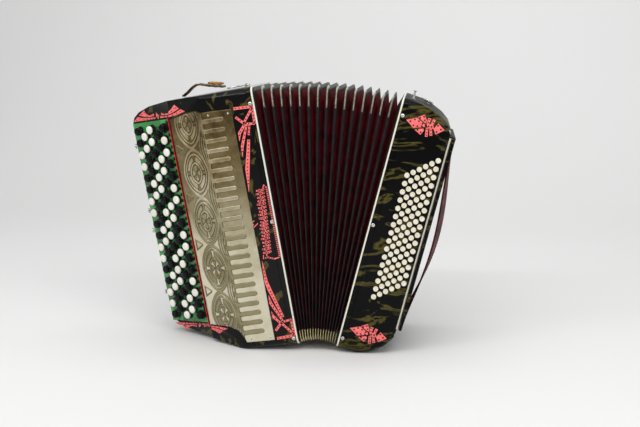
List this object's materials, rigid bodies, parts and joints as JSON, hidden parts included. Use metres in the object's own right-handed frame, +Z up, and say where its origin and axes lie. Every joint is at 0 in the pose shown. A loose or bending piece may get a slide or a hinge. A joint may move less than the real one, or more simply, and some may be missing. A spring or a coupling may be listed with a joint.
{
  "type": "button accordion",
  "caption": "Chromatic button accordion in marbled black celluloid with a stepped treble keyboard, pressed nickel grille, fanned bellows and leather bass strap.",
  "frame": {"origin": "on the standing surface, below the middle of the whole instrument", "axes": "+Z up, +X towards the bass half, -Y towards the player's audience, the grille side"},
  "size_m": [0.5426, 0.1914, 0.435],
  "materials": {
    "black_celluloid": "polished black celluloid marbled with olive and brown",
    "white_celluloid": "polished ivory white edging",
    "green_celluloid": "pearly green keyboard board",
    "nickel": "pressed nickel sheet, tarnished",
    "chrome": "worn bright plating",
    "pearl": "polished pearly buttons",
    "bellows_cloth": "black cloth tape over dark red folds",
    "brass": "aged brass",
    "wood": "unvarnished spruce and maple",
    "zinc": "plain metal rods and levers",
    "red_leather": "dark red leather, worn",
    "brown_leather": "dark mottled leather"
  },
  "bodies": {
    "treble_half": {"treble_edge_strip": "white_celluloid", "treble_bellows_frame": "black_celluloid", "treble_frame_pin_1": "chrome", "treble_frame_pin_2": "chrome", "treble_frame_pin_3": "chrome", "treble_case": "black_celluloid", "treble_soundboard": "wood", "treble_reed_block_1": "wood", "treble_reed_block_2": "wood", "fingerboard": "green_celluloid", "treble_lever_axle": "zinc", "keyboard_edge_stud_1": "chrome", "keyboard_edge_stud_2": "chrome", "keyboard_edge_stud_3": "chrome", "keyboard_edge_stud_4": "chrome", "treble_grille": "nickel", "treble_foot_1": "chrome", "treble_foot_2": "chrome", "shoulder_strap": "brown_leather", "strap_buckle": "brass", "bellows_hook_post": "chrome", "bellows": "bellows_cloth", "bellows_corners_front_top": "brass", "bellows_corners_rear_top": "brass", "bellows_corners_rear_bottom": "brass", "bellows_corners_front_bottom": "brass"},
    "bass_half": {"bass_edge_strip": "white_celluloid", "bass_bellows_frame": "black_celluloid", "bass_frame_pin_1": "chrome", "bass_frame_pin_2": "chrome", "bass_frame_pin_3": "chrome", "bass_case": "black_celluloid", "bass_end_plate": "black_celluloid", "bass_soundboard": "wood", "bass_reed_block_1": "wood", "bass_reed_block_2": "wood", "bass_shaft_rack": "zinc", "bass_hand_strap": "red_leather", "bellows_hook_stud": "chrome"},
    "hook": {"bellows_hook": "chrome"},
    "thumbwheel": {"strap_thumbwheel": "chrome"},
    "air_valve": {"air_button": "pearl"},
    "treble_row_1": {"treble_buttons_row_1": "pearl"},
    "treble_lever_row_1": {"treble_levers_row_1": "zinc"},
    "treble_row_2": {"treble_buttons_row_2": "pearl"},
    "treble_lever_row_2": {"treble_levers_row_2": "zinc"},
    "treble_row_3": {"treble_buttons_row_3": "pearl"},
    "treble_lever_row_3": {"treble_levers_row_3": "zinc"},
    "treble_row_4": {"treble_buttons_row_4": "pearl"},
    "treble_lever_row_4": {"treble_levers_row_4": "zinc"},
    "treble_row_5": {"treble_buttons_row_5": "pearl"},
    "treble_lever_row_5": {"treble_levers_row_5": "zinc"},
    "bass_row_1": {"bass_buttons_row_1": "pearl"},
    "bass_row_2": {"bass_buttons_row_2": "pearl"},
    "bass_row_3": {"bass_buttons_row_3": "pearl"},
    "bass_row_4": {"bass_buttons_row_4": "pearl"},
    "bass_row_5": {"bass_buttons_row_5": "pearl"},
    "bass_row_6": {"bass_buttons_row_6": "pearl"},
    "bass_valve_1": {"bass_pallets_1": "zinc"},
    "bass_valve_2": {"bass_pallets_2": "zinc"}
  },
  "joints": [
    {"name": "bellows_fan", "type": "hinge", "parent": "treble_half", "child": "bass_half", "pos_m": [0.05515, -0.09225, 0.01045], "axis": [0, 1, 0], "range_deg": [-24, 20], "deforming": ["bellows", "bellows_corners_front_top", "bellows_corners_rear_top", "bellows_corners_rear_bottom", "bellows_corners_front_bottom"]},
    {"name": "press_treble_row_1", "type": "slide", "parent": "treble_half", "child": "treble_row_1", "axis": [0.5203, 0.849, 0.0921], "range_m": [0, 0.004], "stiffness_N_per_m": 400, "springref_m": -0.003},
    {"name": "turn_treble_levers_1", "type": "hinge", "parent": "treble_half", "child": "treble_lever_row_1", "pos_m": [-0.09416, 0.00775, 0.20561], "axis": [-0.1743, 0, 0.9847], "range_deg": [-2.31, 0]},
    {"name": "press_treble_row_2", "type": "slide", "parent": "treble_half", "child": "treble_row_2", "axis": [0.5203, 0.849, 0.0921], "range_m": [0, 0.004], "stiffness_N_per_m": 400, "springref_m": -0.003},
    {"name": "turn_treble_levers_2", "type": "hinge", "parent": "treble_half", "child": "treble_lever_row_2", "pos_m": [-0.09416, 0.00775, 0.20561], "axis": [-0.1743, 0, 0.9847], "range_deg": [-2.71, 0]},
    {"name": "press_treble_row_3", "type": "slide", "parent": "treble_half", "child": "treble_row_3", "axis": [0.5203, 0.849, 0.0921], "range_m": [0, 0.004], "stiffness_N_per_m": 400, "springref_m": -0.003},
    {"name": "turn_treble_levers_3", "type": "hinge", "parent": "treble_half", "child": "treble_lever_row_3", "pos_m": [-0.09416, 0.00775, 0.20561], "axis": [-0.1743, 0, 0.9847], "range_deg": [-3.28, 0]},
    {"name": "press_treble_row_4", "type": "slide", "parent": "treble_half", "child": "treble_row_4", "axis": [0.5203, 0.849, 0.0921], "range_m": [0, 0.004], "stiffness_N_per_m": 400, "springref_m": -0.003},
    {"name": "turn_treble_levers_4", "type": "hinge", "parent": "treble_half", "child": "treble_lever_row_4", "pos_m": [-0.09416, 0.00775, 0.20561], "axis": [-0.1743, 0, 0.9847], "range_deg": [-4.14, 0]},
    {"name": "press_treble_row_5", "type": "slide", "parent": "treble_half", "child": "treble_row_5", "axis": [0.5203, 0.849, 0.0921], "range_m": [0, 0.004], "stiffness_N_per_m": 400, "springref_m": -0.003},
    {"name": "turn_treble_levers_5", "type": "hinge", "parent": "treble_half", "child": "treble_lever_row_5", "pos_m": [-0.09416, 0.00775, 0.20561], "axis": [-0.1743, 0, 0.9847], "range_deg": [-5.62, 0]},
    {"name": "press_bass_row_1", "type": "slide", "parent": "bass_half", "child": "bass_row_1", "axis": [0, 1, 0], "range_m": [0, 0.003], "stiffness_N_per_m": 300, "springref_m": -0.003},
    {"name": "press_bass_row_2", "type": "slide", "parent": "bass_half", "child": "bass_row_2", "axis": [0, 1, 0], "range_m": [0, 0.003], "stiffness_N_per_m": 300, "springref_m": -0.003},
    {"name": "press_bass_row_3", "type": "slide", "parent": "bass_half", "child": "bass_row_3", "axis": [0, 1, 0], "range_m": [0, 0.003], "stiffness_N_per_m": 300, "springref_m": -0.003},
    {"name": "press_bass_row_4", "type": "slide", "parent": "bass_half", "child": "bass_row_4", "axis": [0, 1, 0], "range_m": [0, 0.003], "stiffness_N_per_m": 300, "springref_m": -0.003},
    {"name": "press_bass_row_5", "type": "slide", "parent": "bass_half", "child": "bass_row_5", "axis": [0, 1, 0], "range_m": [0, 0.003], "stiffness_N_per_m": 300, "springref_m": -0.003},
    {"name": "press_bass_row_6", "type": "slide", "parent": "bass_half", "child": "bass_row_6", "axis": [0, 1, 0], "range_m": [0, 0.003], "stiffness_N_per_m": 300, "springref_m": -0.003},
    {"name": "turn_bass_pallets_1", "type": "hinge", "parent": "bass_half", "child": "bass_valve_1", "pos_m": [0.16601, 0.00775, 0.20743], "axis": [0.246, 0, 0.9693], "range_deg": [0, 6.5]},
    {"name": "turn_bass_pallets_2", "type": "hinge", "parent": "bass_half", "child": "bass_valve_2", "pos_m": [0.16601, 0.05775, 0.20743], "axis": [0.246, 0, 0.9693], "range_deg": [0, 6.5]},
    {"name": "swing_bellows_hook", "type": "hinge", "parent": "treble_half", "child": "hook", "pos_m": [-0.06271, -0.05225, 0.42952], "axis": [-0.1743, 0, 0.9847], "range_deg": [-90, 180]},
    {"name": "turn_strap_wheel", "type": "hinge", "parent": "bass_half", "child": "thumbwheel", "pos_m": [0.22531, 0.00075, 0.398], "axis": [0.4842, 0, 0.875], "continuous": true},
    {"name": "press_air_button", "type": "slide", "parent": "bass_half", "child": "air_valve", "axis": [0, 1, 0], "range_m": [0, 0.003], "stiffness_N_per_m": 250, "springref_m": -0.003}
  ],
  "couplings": [
    {"joint": "turn_treble_levers_1", "follows": "press_treble_row_1", "rad_per_m": -9.8533},
    {"joint": "turn_treble_levers_2", "follows": "press_treble_row_2", "rad_per_m": -11.556},
    {"joint": "turn_treble_levers_3", "follows": "press_treble_row_3", "rad_per_m": -13.969},
    {"joint": "turn_treble_levers_4", "follows": "press_treble_row_4", "rad_per_m": -17.657},
    {"joint": "turn_treble_levers_5", "follows": "press_treble_row_5", "rad_per_m": -23.99},
    {"joint": "turn_bass_pallets_1", "follows": "press_bass_row_3", "rad_per_m": 35},
    {"joint": "turn_bass_pallets_2", "follows": "press_bass_row_5", "rad_per_m": 35}
  ]
}
